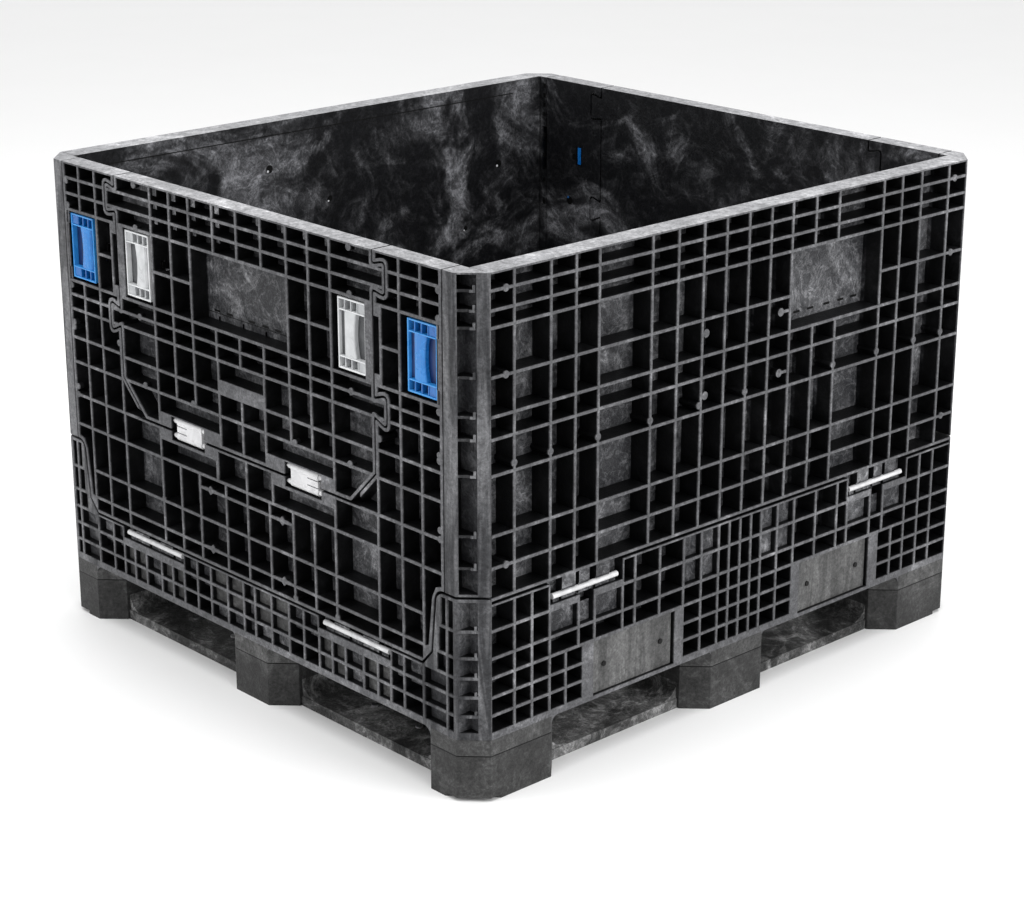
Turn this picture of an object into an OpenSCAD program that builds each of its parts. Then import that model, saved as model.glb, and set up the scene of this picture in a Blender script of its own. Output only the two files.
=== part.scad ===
// Collapsible bulk container with two drop doors, on a nine-foot four-way pallet base.
// Frame: +Z up, origin on the floor under the middle. The drop-door walls face -Y and +Y,
// the plain walls face -X and +X.

/* [Container] */
// Overall width, along the drop-door walls (X)
width = 1143; // [1141:0.5:1150]
// Overall length, along the plain walls (Y)
length = 1219.2; // [1217:0.1:1226]
// Overall height, to the top rim
height = 864; // [860:1:880]
// Leg of the chamfer on each vertical corner
corner_chamfer = 38.5; // [36:0.5:40]

/* [Base] */
// Height of the foot blocks, up to the seam under the base
foot_h = 79; // [76:0.5:82]
// Top of the fork openings
fork_top = 107; // [104:0.5:110]
// Top of the floor inside
floor_top = 162; // [158:1:166]
// Top of the base under the drop-door walls
end_rim_top = 212; // [210:0.5:212]
// Top of the base under the plain walls
side_rim_top = 336; // [334:0.5:337]
// Thickness of the bottom boards
board_t = 18; // [14:1:22]
// How far the bottom boards are set back from the outer faces
board_inset = 42; // [40:1:48]
// Width of the bottom boards
board_w = 110; // [90:1:120]

/* [Walls] */
// Thickness of a drop-door wall
end_t = 38; // [37:0.5:39]
// Thickness of a plain wall
side_t = 44; // [42:0.5:46]
// Thickness of a rib
rib = 4.75; // [4:0.25:6]
// Thickness of the inner skin of a wall
skin = 4; // [3:0.25:5]
// Thickness of the top rim
rim_rib = 3; // [2.5:0.25:4]
// Gap between a door and its wall
door_gap = 3.5; // [3:0.25:4]

/* [Hinges] */
// Radius of the hinge rods and of the knobs on the links
rod_r = 4.8; // [4.5:0.1:5]
// Depth of the hinge rods behind the outer face
rod_depth = 7; // [6.5:0.25:7.5]
// Height of the rods under the drop-door walls
end_rod_z = 202; // [201.5:0.25:202.5]
// Height of the rods under the plain walls
side_rod_z = 311; // [309:0.5:312]
// Depth of the door link pins behind the outer face
link_depth = 9; // [8.5:0.25:9.25]
// Height of the lower link pins, in the wall
link_low_z = 427; // [426.5:0.25:427.5]
// Height of the upper link pins, in the door
link_high_z = 454; // [453.5:0.25:455]

/* [Latches] */
// Width of a latch
latch_w = 69; // [66:0.5:70]
// Height of a latch
latch_h = 117; // [112:0.5:118]
// Middle height of the latches
latch_z = 714; // [712:0.5:715]
// Height of a latch bolt
bolt_h = 80; // [60:1:84]

/* [Hidden] */
$fn = 48;

black_plastic = [0.13, 0.13, 0.14];
inner_plastic = [0.18, 0.18, 0.19];
blue_plastic = [0.05, 0.35, 0.72];
grey_plastic = [0.72, 0.73, 0.75];
white_plastic = [0.93, 0.93, 0.94];

half_w = width / 2;
half_l = length / 2;
end_flat = half_w - corner_chamfer;
side_flat = half_l - corner_chamfer;
eps = 1;

// Outer edge of a drop-door wall, and the corner post that starts beside it
wall_edge = half_w - 65;
post_edge = half_w - 62.5;
post_wall = 5;
// Where the open channel in the chamfered corners starts
channel_x = 535;
// The side mouldings end here and the corner mouldings begin
side_end = half_l - 40.85;
// Lower edges of the walls above the base
seam = 5;
end_wall_bottom = end_rim_top + seam;
side_wall_bottom = side_rim_top + 6;
corner_top = side_rim_top + 9;
post_bottom = corner_top + 4.5;
// The part of the base under the drop-door walls is thin, so that the wall can lie down inside it
end_rim_t = 17;
end_rim_skin = 3;
end_rim_half = 453.25;
end_ledge_top = 166;
corner_t = 33;
// The doorway
door_half = 345;
door_bottom = 440;
wall_sill = 435;
tab_reach = 30;
tab_round = 6;
tab_fillet = 9;
stile_inner = door_half - 70;
// The stile is cut back from x = 307.5 at its face to nothing behind it, up to z = 461.5
swing_notch = [307.5, 461.5];

// Rib centre lines, one half of the drop-door side
door_columns = [0, 65, 131.5, 187, 242];
door_far = 400;
stile_columns = [352, 408.5, 458, 503.5];
top_line = height - rim_rib + rib / 2;
top_rows = [779, 808, 836, top_line];
stile_rows = [434, 496.5, 543, 596, 623, 649];
panel_columns = [-350, -241, -186, -130, -55, 5.5, 67, 130, 186, 241, 350];
panel_rows = [end_wall_bottom + rib / 2, 246, 298];
end_rim_rows = [fork_top + 9.5, 147, 179.5, end_rim_top - 0.5];

// Rib centre lines of the plain side
side_columns = [0, 54, 107, 166, 225, 342, 392, 445, 521, 600];
side_low_rows = [side_wall_bottom + 2, 395, 447.5, 545, 603, 639];
side_top_rows = [778, 805, 835.5, top_line];
side_rim_low_rows = [fork_top + 9.5, 148, 179, 212];
side_rim_high_rows = [212, 245, 291, side_rim_top - 0.5];

// Hinge places along each side: start and end of a rod, and the saddles and hooks behind it
end_rod = [200, 366];
end_slot = [190, 375];
end_saddles = [[203, 224], [270, 296], [345, 362]];
end_hooks = [[228, 266], [300, 341]];
side_rod = [290, 435];
side_slot = [281.5, 444.5];
side_saddles = [[293, 306], [343, 352], [419, 432]];
side_hooks = [[309, 340], [355, 378], [386, 416]];
hook_r = 9.5;
seat_gap = 0.4;

// Door link: its body, the knobs at its ends and the recess around it
link_body = [124, 195];
link_knobs = [115, 204];
link_slot = [111, 208];
link_r = 6.6;
link_t = 11;
link_recess = 17;
link_clear = 8.5;
trunnion_r = 3.5;
trunnion_end = 5;
bore_gap = 0.3;

// Latches: outer edge of the body, tip of the bolt and tip of the guide tongue
wall_latch = [493, 517.5, 404];
door_latch = [325.5, 355.5, 237];
latch_front = 3;
latch_back = 31;
bolt_depth = [16, 26];
guide_h = 28;
guide_depth = [18, 24];
slot_gap = 1.5;
door_edge_plate = 327;
// Pockets for the bolts: in the stiles, open outwards, and in the posts, open inwards
stile_keeper = [door_half, 361];
post_keeper = 12;
keeper_h = [47, 46];
keeper_depth = 30;
// Slots that the guide tongues slide in
stile_slot = [389, 412];
door_slot = [223, 246];

// Recessed plates low on the plain sides
plate_mid = 252;
plate_half = 91.5;
plate_z = [114, 208];
plate_depth = 6;
plate_t = 6;
plate_screw = 66;
screw_r = 2.5;
screw_gap = 0.1;

// Feet: half widths of the middle ones, and where the corner ones end
foot_mid_x = 84;
foot_mid_y = 102;
foot_end_x = 433;
foot_end_y = 402;
foot_chamfer = 38;
stack_step = 6;

// ---- Building blocks ----

// A slab behind the -Y face: children in (x, z), depths measured inwards from the outer face
module end_slab(from, to) {
    translate([0, to - half_l, 0])
        rotate([90, 0, 0])
            linear_extrude(to - from)
                children();
}

// A slab behind the +X face: children in (y, z), depths measured inwards from the outer face
module side_slab(from, to) {
    translate([half_w - to, 0, 0])
        rotate([90, 0, 90])
            linear_extrude(to - from)
                children();
}

// A block in the same terms: range along the face, heights and depths
module end_block(x, z, depth) {
    translate([x[0], depth[0] - half_l, z[0]])
        cube([x[1] - x[0], depth[1] - depth[0], z[1] - z[0]]);
}

module side_block(y, z, depth) {
    translate([half_w - depth[1], y[0], z[0]])
        cube([depth[1] - depth[0], y[1] - y[0], z[1] - z[0]]);
}

// A round bar along X behind the -Y face
module end_bar(x, z, depth, r) {
    translate([x[0], depth - half_l, z])
        rotate([0, 90, 0])
            cylinder(h = x[1] - x[0], r = r);
}

// A round bar along Y behind the +X face
module side_bar(y, z, depth, r) {
    translate([half_w - depth, y[0], z])
        rotate([-90, 0, 0])
            cylinder(h = y[1] - y[0], r = r);
}

// The open cells between rib centre lines
module cells(us, zs) {
    for (i = [0 : len(us) - 2], j = [0 : len(zs) - 2])
        translate([us[i] + rib / 2, zs[j] + rib / 2])
            square([us[i + 1] - us[i] - rib, zs[j + 1] - zs[j] - rib]);
}

module window(u, z) {
    translate([u[0], z[0]])
        square([u[1] - u[0], z[1] - z[0]]);
}

// Small round bosses in the plane of the ribs
module bosses(places) {
    for (p = places)
        translate(p)
            circle(r = 6, $fn = 24);
}

module both() {
    children();
    mirror([1, 0, 0]) children();
}

module four_ways() {
    both() {
        children();
        mirror([0, 1, 0]) children();
    }
}

function flip(points) = [for (i = [len(points) - 1 : -1 : 0]) [-points[i][0], points[i][1]]];
function on_circle(c, r, angle) = c + r * [cos(angle), sin(angle)];
function arc(c, r, a, b, n) = [for (i = [0 : n]) on_circle(c, r, a + (b - a) * i / n)];

// ---- Outlines ----

// A corner at p rounded over a length t of both its edges, towards a and towards b
function rounded(a, p, b, t) =
    let (u = p + t * (a - p) / norm(a - p), v = p + t * (b - p) / norm(b - p))
    [for (s = [0 : 0.25 : 1]) (1 - s) * (1 - s) * u + 2 * s * (1 - s) * p + s * s * v];

// A dovetail tab on the door's right edge, grown by g: neck and tip heights, and the cotangent
// of half its corner angle
function tab(g, neck, tip, cot) =
    let (
        x0 = door_half + g,
        x1 = door_half + tab_reach + g,
        low = [[x0, neck[0] - cot * g], [x1, tip[0] - cot * g]],
        high = [[x0, neck[1] + cot * g], [x1, tip[1] + cot * g]],
        inner = max(0.3, tab_fillet - g) / cot,
        outer = (tab_round + g) * cot
    )
    concat(
        rounded([x0, 0], low[0], low[1], inner),
        rounded(low[0], low[1], high[1], outer),
        rounded(low[1], high[1], high[0], outer),
        rounded(high[1], high[0], [x0, height], inner)
    );

// Right half of the door, grown by g
function door_side(g) = concat(
    [[door_half - 62 + 0.41 * g, door_bottom - g], [door_half + g, 502 - 0.41 * g]],
    tab(g, [598, 624], [584, 634], 1.57),
    tab(g, [803, 840], [797, 848], 1.3)
);
function door_outline(g, top) = concat(
    door_side(g),
    [[door_half + g, top], [-door_half - g, top]],
    flip(door_side(g))
);

// Seam between the base corner and the wall on the right half, from the middle outwards
function shoulder(g) = concat(
    [[455 - 0.4 * g, end_rim_top + g], [479 - 0.8 * g, 240 + 0.2 * g], [488 - g, corner_top - 16]],
    arc([504, corner_top - 16], 16 + g, 180, 90, 6)
);

// ---- Drop-door walls ----

// Bores for the trunnions of a link, at both ends of its recess
module link_bore(z) {
    reach = trunnion_end + 1;
    end_bar([link_slot[0] - reach, link_slot[1] + reach], z, link_depth, trunnion_r + bore_gap);
}

// A slot around a bolt or a guide tongue of that height and depth
module latch_slot(x, h, depth) {
    end_block(x, [latch_z - h / 2 - slot_gap, latch_z + h / 2 + slot_gap],
        [depth[0] - slot_gap, depth[1] + slot_gap]);
}

module panel_outline() {
    edge = concat(
        [[0, end_wall_bottom]],
        shoulder(seam),
        [[wall_edge, corner_top + seam], [wall_edge, wall_sill], [0, wall_sill]]
    );
    both() polygon(edge);
}

module panel_cells() {
    cells(panel_columns, panel_rows);
    cells([-350, -241, -186, -130], [298, 378]);
    cells([130, 186, 241, 350], [298, 378]);
    cells([-130, -55, 5.5, 67, 130], [298, 354, 378]);
    cells([-75, 5.5, 77], [378, 434]);
    both() {
        cells([350, 408.5, 458], concat(panel_rows, [378, 434]));
        cells([458, 503.5], [378, 434]);
        cells([77, 242], [378, 416]);
        cells([242, 350], [378, 434]);
    }
}

module shoulder_cell() {
    inner = 458 + rib / 2;
    outer = 503.5 - rib / 2;
    top = 378 - rib / 2;
    polygon([[inner, 246], [469, 248.75], [474, 290], [479, 334], [488, 352], [outer, 356],
        [outer, top], [inner, top]]);
}

module front_panel() {
    color(black_plastic)
    difference() {
        union() {
            end_slab(0, end_t - skin)
                difference() {
                    panel_outline();
                    panel_cells();
                    both() shoulder_cell();
                }
            end_slab(end_t - skin, end_t) panel_outline();
            both() for (x = end_hooks) {
                end_bar(x, end_rod_z, rod_depth, hook_r);
                end_block(x, [end_rod_z, end_wall_bottom + 1], [rod_depth, rod_depth + hook_r]);
            }
        }
        both() {
            end_bar([end_slot[0], end_slot[1]], end_rod_z, rod_depth, rod_r + seat_gap);
            end_block(end_slot, [end_rod_z - 12, end_wall_bottom - 0.5], [-hook_r, rod_depth - 2]);
            end_block(link_slot, [link_low_z - link_clear, wall_sill + eps], [-eps, link_recess]);
            link_bore(link_low_z);
        }
    }
}

module stile_2d() {
    difference() {
        window([stile_inner, wall_edge], [wall_sill, height]);
        polygon(door_outline(door_gap, height + eps));
        difference() {
            union() {
                cells([290, 352], [434, 496.5]);
                cells(stile_columns, stile_rows);
                cells(stile_columns, top_rows);
                cells([363.5, 408.5], [649, latch_z, 779]);
                cells([408.5, 503.5], [649, 779]);
            }
            polygon(door_outline(door_gap + rib, height + eps));
            bosses([[356, 562], [499, 562], [499, 640], [499, 786]]);
        }
    }
}

module front_stile() {
    color(black_plastic)
    difference() {
        union() {
            end_slab(0, end_t - skin) stile_2d();
            end_slab(end_t - skin, end_t)
                difference() {
                    window([stile_inner, wall_edge], [wall_sill, height]);
                    polygon(door_outline(door_gap, height + eps));
                }
        }
        end_block(stile_keeper, [latch_z - keeper_h[0], latch_z + keeper_h[1]], [-eps, keeper_depth]);
        latch_slot([wall_edge - 8, wall_edge + eps], bolt_h, bolt_depth);
        latch_slot(stile_slot, guide_h, guide_depth);
        // Room for the door's lower corner as it swings out
        translate([0, -half_l, wall_sill - eps])
            linear_extrude(swing_notch[1] - wall_sill + eps)
                polygon([[stile_inner - eps, -eps], [swing_notch[0] + eps, -eps],
                    [stile_inner - eps, swing_notch[0] - stile_inner + eps]]);
    }
}

// ---- Drop doors ----

module door_cells() {
    both() {
        cells(concat(door_columns, [door_far]), top_rows);
        cells(concat(door_columns, [door_far]), [596, 623, 649]);
        cells([63, 131.5, 187, 242, door_far], [539, 596]);
        cells([0, 63, 131.5, 187, 242, door_far], [498, 539]);
        cells([0, 63], [door_bottom - 10, 498]);
        cells([242, door_far], [door_bottom - 10, 498]);
        cells([63, 242], [461.5, 498]);
        cells([131.5, 187, 242], [649, latch_z, 779]);
        cells([242, door_edge_plate + rib / 2], [649, 779]);
    }
    cells([-131.5, 131.5], [649, 779]);
    cells([-63, 63], [560, 596]);
}

module front_door_shape() {
    color(black_plastic)
    difference() {
        union() {
            end_slab(0, end_t - skin)
                difference() {
                    polygon(door_outline(0, height));
                    intersection() {
                        polygon(door_outline(-rib, height - rim_rib));
                        door_cells();
                    }
                }
            end_slab(end_t - skin, end_t) polygon(door_outline(0, height));
        }
        both() {
            end_block(link_slot, [door_bottom - eps, link_high_z + link_clear], [-eps, link_recess]);
            link_bore(link_high_z);
            latch_slot([door_edge_plate - eps, door_half + eps], bolt_h, bolt_depth);
            latch_slot(door_slot, guide_h, guide_depth);
        }
    }
}

// Double-pivot link: the lower pins turn in the wall, the upper pins in the door
module door_link() {
    trunnions = [link_slot[0] - trunnion_end, link_slot[1] + trunnion_end];
    color(white_plastic)
    difference() {
        union() {
            for (z = [link_low_z, link_high_z]) {
                end_bar(link_body, z, link_depth, link_r);
                end_bar(link_knobs, z, link_depth, rod_r);
                end_bar(trunnions, z, link_depth, trunnion_r);
            }
            end_block(link_body, [link_low_z, link_high_z],
                [link_depth - link_t / 2, link_depth + link_t / 2]);
        }
        for (z = [434, 446])
            end_block([link_body[1] - 28, link_body[1] + eps], [z, z + 2], [-eps, 20]);
    }
}

// ---- Latches ----

// A sliding latch on the right half: edge is its outer side, then the bolt and guide tips
module latch(place, tint) {
    x1 = place[0];
    x0 = x1 - latch_w;
    z0 = latch_z - latch_h / 2;
    z1 = latch_z + latch_h / 2;
    band = 17;
    color(tint)
    difference() {
        union() {
            end_block([x0, x1], [z0, z1], [latch_front, latch_back]);
            end_block([x1 - eps, place[1]], [latch_z - bolt_h / 2, latch_z + bolt_h / 2], bolt_depth);
            end_block([place[2], x0 + eps], [latch_z - guide_h / 2, latch_z + guide_h / 2], guide_depth);
        }
        end_block([x0 + 3, x0 + 14], [z0 + band + 2, z1 - band - 2], [-eps, 13]);
        end_block([x0 + 43, x1 - 3], [z0 + band + 2, z1 - band - 2], [-eps, 13]);
        for (i = [0 : 2], z = [z0 + 4, z1 - 15])
            end_block([x0 + 5 + 16 * i, x0 + 16 + 16 * i], [z, z + 11], [-eps, 10]);
    }
}

module blue_latch() {
    latch(wall_latch, blue_plastic);
}

module grey_latch() {
    latch(door_latch, grey_plastic);
}

// ---- Base ----

// Cells that are deep, beside the shallow ones in front of the middle and of the rods
module end_rim_deep() {
    both() for (x = [[110, 150, 190.5], [375, 408, 456]])
        cells(x, [end_rim_rows[0], 147, end_ledge_top]);
}

module end_rim_cells() {
    both() {
        cells([16, 62, 110, 150, 190.5, 225, 259.5, 306, 342, 375, 408, 456],
            [end_rim_rows[0], 147, 179.5]);
        cells([16, 62, 110, 150, 190.5], [179.5, end_rim_rows[3]]);
        cells([375, 408, 456], [179.5, end_rim_rows[3]]);
    }
    cells([-16, 16], end_rim_rows);
}

module front_rim() {
    color(black_plastic)
    difference() {
        union() {
            end_slab(0, end_rim_t - end_rim_skin)
                difference() {
                    window([-end_rim_half, end_rim_half], [fork_top, end_rim_top]);
                    end_rim_cells();
                }
            end_slab(end_rim_t - end_rim_skin, end_rim_t)
                difference() {
                    window([-end_rim_half, end_rim_half], [fork_top, end_rim_top]);
                    end_rim_deep();
                }
            end_slab(end_rim_t, end_t - skin)
                difference() {
                    window([-end_rim_half, end_rim_half], [fork_top, end_ledge_top]);
                    end_rim_deep();
                }
            end_slab(end_t - skin, end_t)
                window([-end_rim_half, end_rim_half], [fork_top, end_ledge_top]);
        }
        both() {
            difference() {
                end_block(end_slot, [end_rod_z - 11.5, end_rim_top + eps], [-eps, end_rim_t + eps]);
                for (x = end_saddles)
                    end_block(x, [end_rod_z - 12, end_rod_z + 3], [rod_depth, end_rim_t]);
            }
            end_bar([end_rod[0] - eps, end_rod[1] + eps], end_rod_z, rod_depth, rod_r + 0.05);
        }
    }
}

module side_rim_cells() {
    both() {
        cells([53, 95, 138], [212, 245]);
        cells([281.5, 345, 381, 444.5], [212, 245]);
        cells([0, 27, 53], side_rim_high_rows);
        cells([138, 195, 253, 281.5], side_rim_high_rows);
        cells([444.5, 483, 520.5, 600], side_rim_high_rows);
        cells([0, 27, 53, 95, 138], side_rim_low_rows);
        cells([370, 409, 444.5, 483, 520.5, 600], side_rim_low_rows);
    }
}

// Cells that are shallow, beside the middle and under the rods
module side_rim_shallow() {
    both() {
        cells([53, 95, 138], [245, 291, side_rim_high_rows[3]]);
        cells([281.5, 345, 381, 444.5], [245, 291]);
    }
}

module side_plate_pockets() {
    reach = plate_half + 3.5;
    both() window([plate_mid - reach, plate_mid + reach], [plate_z[0] - 1, plate_z[1] + 1]);
}

// Two mirrored copies along Y
module fore_and_aft() {
    children();
    mirror([0, 1, 0]) children();
}

module right_rim() {
    shallow = plate_depth + plate_t;
    color(black_plastic)
    difference() {
        union() {
            side_slab(0, shallow)
                difference() {
                    window([-side_end, side_end], [fork_top, side_rim_top]);
                    side_rim_cells();
                    side_rim_shallow();
                    side_plate_pockets();
                }
            side_slab(shallow, side_t - skin)
                difference() {
                    window([-side_end, side_end], [fork_top, side_rim_top]);
                    side_rim_cells();
                }
            side_slab(side_t - skin, side_t) window([-side_end, side_end], [fork_top, side_rim_top]);
        }
        fore_and_aft() {
            difference() {
                side_block(side_slot, [side_rod_z - 11, side_rim_top + eps], [-eps, 20]);
                for (y = side_saddles)
                    side_block(y, [side_rod_z - 12, side_rod_z + 3], [rod_depth, 21]);
            }
            side_bar([side_rod[0] - eps, side_rod[1] + eps], side_rod_z, rod_depth, rod_r + 0.05);
            side_block([347, 379], [282, side_rod_z - 10], [-eps, 24]);
            for (s = [-1, 1])
                side_bar_in(plate_mid + s * plate_screw, shallow + 10, screw_r + screw_gap);
        }
    }
}

// A round hole or pin along X, from the +X face to a depth
module side_bar_in(y, depth, r) {
    translate([half_w - depth, y, (plate_z[0] + plate_z[1]) / 2])
        rotate([0, 90, 0])
            cylinder(h = depth - plate_depth, r = r);
}

module right_plates() {
    color(black_plastic)
    fore_and_aft()
        difference() {
            side_block([plate_mid - plate_half, plate_mid + plate_half], plate_z,
                [plate_depth, plate_depth + plate_t]);
            for (s = [-1, 1])
                side_bar_in(plate_mid + s * plate_screw, plate_depth + plate_t + eps, screw_r + screw_gap);
        }
}

module plate_screws() {
    color("dimgray")
    both() fore_and_aft()
        for (s = [-1, 1]) {
            side_bar_in(plate_mid + s * plate_screw, plate_depth + plate_t + 8, screw_r);
            translate([half_w - plate_depth, plate_mid + s * plate_screw, (plate_z[0] + plate_z[1]) / 2])
                rotate([0, 90, 0])
                    cylinder(h = 1.8, r = 4.6);
        }
}

// Corner of the base at +X and -Y
module base_corner() {
    strip_edge = half_w - side_t - 0.5;
    inner_edge = 495;
    strip_back = end_rim_t - end_rim_skin - half_l;
    plan = [
        [strip_edge, -half_l], [end_flat, -half_l], [half_w, -side_flat], [half_w, -side_end],
        [half_w - side_t, -side_end], [half_w - side_t, corner_t - half_l],
        [inner_edge, corner_t - half_l], [inner_edge, strip_back], [strip_edge, strip_back]
    ];
    seam_line = shoulder(0);
    face = concat(
        [[end_rim_half, fork_top], [strip_edge, fork_top], [strip_edge, corner_top]],
        [for (i = [len(seam_line) - 1 : -1 : 0]) seam_line[i]],
        [[end_rim_half, end_rim_top]]
    );
    rows = [fork_top + 9.5, 147, 179.5, 212, 246, 291, corner_top + rib / 2 - 5];
    color(black_plastic)
    difference() {
        union() {
            end_slab(0, end_rim_t - end_rim_skin)
                difference() {
                    polygon(face);
                    cells([456, 512, 532.5], [rows[0], rows[1], rows[2], rows[3]]);
                    cells([491, 512, 532.5], [246, 291]);
                    cells([496, 512, 532.5], [291, rows[6]]);
                    cells([486, 512, 532.5], [212, 246]);
                }
            end_slab(end_rim_t - end_rim_skin, end_rim_t) polygon(face);
            translate([0, 0, fork_top])
                linear_extrude(corner_top - fork_top)
                    polygon(plan);
        }
        for (i = [0 : len(rows) - 2])
            translate([0, 0, rows[i] + rib / 2])
                linear_extrude(rows[i + 1] - rows[i] - rib)
                    polygon(corner_channel(channel_x, corner_t - skin));
    }
}

// Feet in plan: one corner foot, one under each side and one in the middle
function corner_foot() = [
    [foot_end_x + foot_chamfer, -half_l], [end_flat, -half_l], [half_w, -side_flat],
    [half_w, -foot_end_y - foot_chamfer], [half_w - foot_chamfer, -foot_end_y],
    [foot_end_x, -foot_end_y], [foot_end_x, foot_chamfer - half_l]
];

module feet_2d() {
    four_ways() polygon(corner_foot());
    for (s = [-1, 1]) {
        scale([1, s])
            polygon([[foot_chamfer - foot_mid_x, half_l], [foot_mid_x - foot_chamfer, half_l],
                [foot_mid_x, half_l - foot_chamfer], [foot_mid_x, foot_end_y],
                [-foot_mid_x, foot_end_y], [-foot_mid_x, half_l - foot_chamfer]]);
        scale([s, 1])
            polygon([[half_w, foot_chamfer - foot_mid_y], [half_w, foot_mid_y - foot_chamfer],
                [half_w - foot_chamfer, foot_mid_y], [foot_end_x, foot_mid_y],
                [foot_end_x, -foot_mid_y], [half_w - foot_chamfer, -foot_mid_y]]);
    }
    square([2 * foot_mid_x, 2 * foot_mid_y], center = true);
}

module base_legs() {
    color(black_plastic)
    translate([0, 0, foot_h])
        linear_extrude(fork_top - foot_h)
            feet_2d();
}

module foot_blocks() {
    color(black_plastic)
    difference() {
        linear_extrude(foot_h) feet_2d();
        four_ways()
            translate([0, 0, -eps])
                linear_extrude(stack_step + eps)
                    polygon([[505, -half_l - eps], [half_w + eps, -half_l - eps], [half_w + eps, -548]]);
    }
}

// The floor, ribbed underneath
module base_deck() {
    x = half_w - side_t;
    y = half_l - end_t;
    nx = 9;
    ny = 10;
    color(inner_plastic) {
        translate([-x, -y, floor_top - 8]) cube([2 * x, 2 * y, 8]);
        translate([0, 0, fork_top])
            linear_extrude(floor_top - 8 - fork_top)
                difference() {
                    square([2 * x, 2 * y], center = true);
                    cells([for (i = [0 : nx]) -x + 2 * x * i / nx], [for (i = [0 : ny]) -y + 2 * y * i / ny]);
                }
    }
}

// Bottom boards between the feet: the ones along X
module cross_boards() {
    color(black_plastic)
    difference() {
        both() for (y = [board_inset - half_l, -board_w / 2, half_l - board_inset - board_w])
            translate([foot_mid_x, y, 0])
                cube([foot_end_x - foot_mid_x, board_w, board_t]);
        board_screw_places()
            translate([0, 0, 4])
                cylinder(h = board_t, r = 3 + screw_gap);
    }
}

// and the ones along Y
module side_boards() {
    color(black_plastic)
    fore_and_aft() for (x = [board_inset - half_w, -board_w / 2, half_w - board_inset - board_w])
        translate([x, foot_mid_y, 0])
            cube([board_w, foot_end_y - foot_mid_y, board_t]);
}

module board_screw_places() {
    for (x = [-315, -200, 200, 315], y = [-500, 0, 500])
        translate([x, y, 0]) children();
}

module board_screws() {
    color("silver")
    board_screw_places() {
        translate([0, 0, 6]) cylinder(h = board_t - 6, r = 3);
        translate([0, 0, board_t]) cylinder(h = 2.5, r = 6.5);
    }
}

module end_rods() {
    color(white_plastic)
    both() end_bar(end_rod, end_rod_z, rod_depth, rod_r);
}

module side_rods() {
    color(white_plastic)
    fore_and_aft() side_bar(side_rod, side_rod_z, rod_depth, rod_r);
}

// ---- Plain walls with their corner posts ----

module side_wall_cells() {
    both() {
        cells(side_columns, side_low_rows);
        cells(side_columns, side_top_rows);
        cells([342, 392, 445, 521, 600], [639, 701, 778]);
    }
    cells([-342, -225, -166, -107, -54, 0, 54, 107], [639, 701, 778]);
    cells([107, 342], [639, 778]);
}

module right_wall() {
    boss_places = [for (u = [-521, -445, -342, -225, -111, 0, 225, 342, 445, 521]) [u, 557]];
    color(black_plastic)
    difference() {
        union() {
            side_slab(0, side_t - skin)
                difference() {
                    window([-side_end, side_end], [side_wall_bottom, height]);
                    difference() {
                        side_wall_cells();
                        bosses(boss_places);
                        both() bosses([[538, 835.5], [538, 701], [538, 395]]);
                    }
                }
            side_slab(side_t - skin, side_t) window([-side_end, side_end], [side_wall_bottom, height]);
            fore_and_aft() for (y = side_hooks) {
                side_bar(y, side_rod_z, rod_depth, hook_r);
                side_block(y, [side_rod_z, side_wall_bottom + 1], [rod_depth, rod_depth + hook_r]);
                side_block(y, [side_rod_z + 8, side_wall_bottom + 1], [3, rod_depth + 1]);
            }
            for (y = [-97, 85], z = [571, 677]) {
                side_bar_at(y, z, [1, 16], 7);
                side_block([min(y, sign(y) * 105), max(y, sign(y) * 105)], [z - 2.5, z + 2.5], [1, 16]);
            }
        }
        fore_and_aft() {
            side_bar(side_slot, side_rod_z, rod_depth, rod_r + seat_gap);
            side_block(side_slot, [side_rod_z - 12, side_rod_z + 8], [-hook_r, rod_depth - 2]);
        }
    }
}

// A round peg along X between two depths
module side_bar_at(y, z, depth, r) {
    translate([half_w - depth[1], y, z])
        rotate([0, 90, 0])
            cylinder(h = depth[1] - depth[0], r = r);
}

// Plan of the open channel in the chamfer of a corner, from x outwards and to a depth
function corner_channel(x, depth) = [
    [x, 6 - half_l], [channel_x, 6 - half_l], [channel_x, 1 - half_l],
    [558, 24 - half_l], [554, 28 - half_l], [553, depth - half_l], [x, depth - half_l]
];
// Plan of the groove in front of the channel's ribs
corner_groove = [
    [channel_x, 1 - half_l], [558, 24 - half_l], [554.5, 27.5 - half_l], [channel_x, 8 - half_l]
];

// Corner post at +X and -Y
module post() {
    plan = [
        [post_edge, -half_l], [end_flat, -half_l], [half_w, -side_flat], [half_w, -side_end],
        [half_w - side_t, -side_end], [half_w - side_t, end_t - half_l], [post_edge, end_t - half_l]
    ];
    rows = [post_bottom + 1, 395, 447.5, 545, 603, 639, 701, 778, 805, 835.5, top_line];
    color(black_plastic)
    difference() {
        translate([0, 0, post_bottom])
            linear_extrude(height - post_bottom)
                polygon(plan);
        for (i = [0 : len(rows) - 2]) {
            beside_latch = rows[i + 1] > latch_z - keeper_h[0] && rows[i] < latch_z + keeper_h[1];
            wall = beside_latch ? post_keeper + 3 : post_wall;
            translate([0, 0, rows[i] + rib / 2])
                linear_extrude(rows[i + 1] - rows[i] - rib)
                    polygon(corner_channel(post_edge + wall, 31));
        }
        translate([0, 0, rows[0] + rib / 2])
            linear_extrude(top_line - rib - rows[0])
                polygon(corner_groove);
        end_block([post_edge - eps, post_edge + post_keeper],
            [latch_z - keeper_h[0], latch_z + keeper_h[1]],
            [bolt_depth[0] - 3, end_t + eps]);
    }
}

module turned() {
    rotate([0, 0, 180]) children();
}

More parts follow.
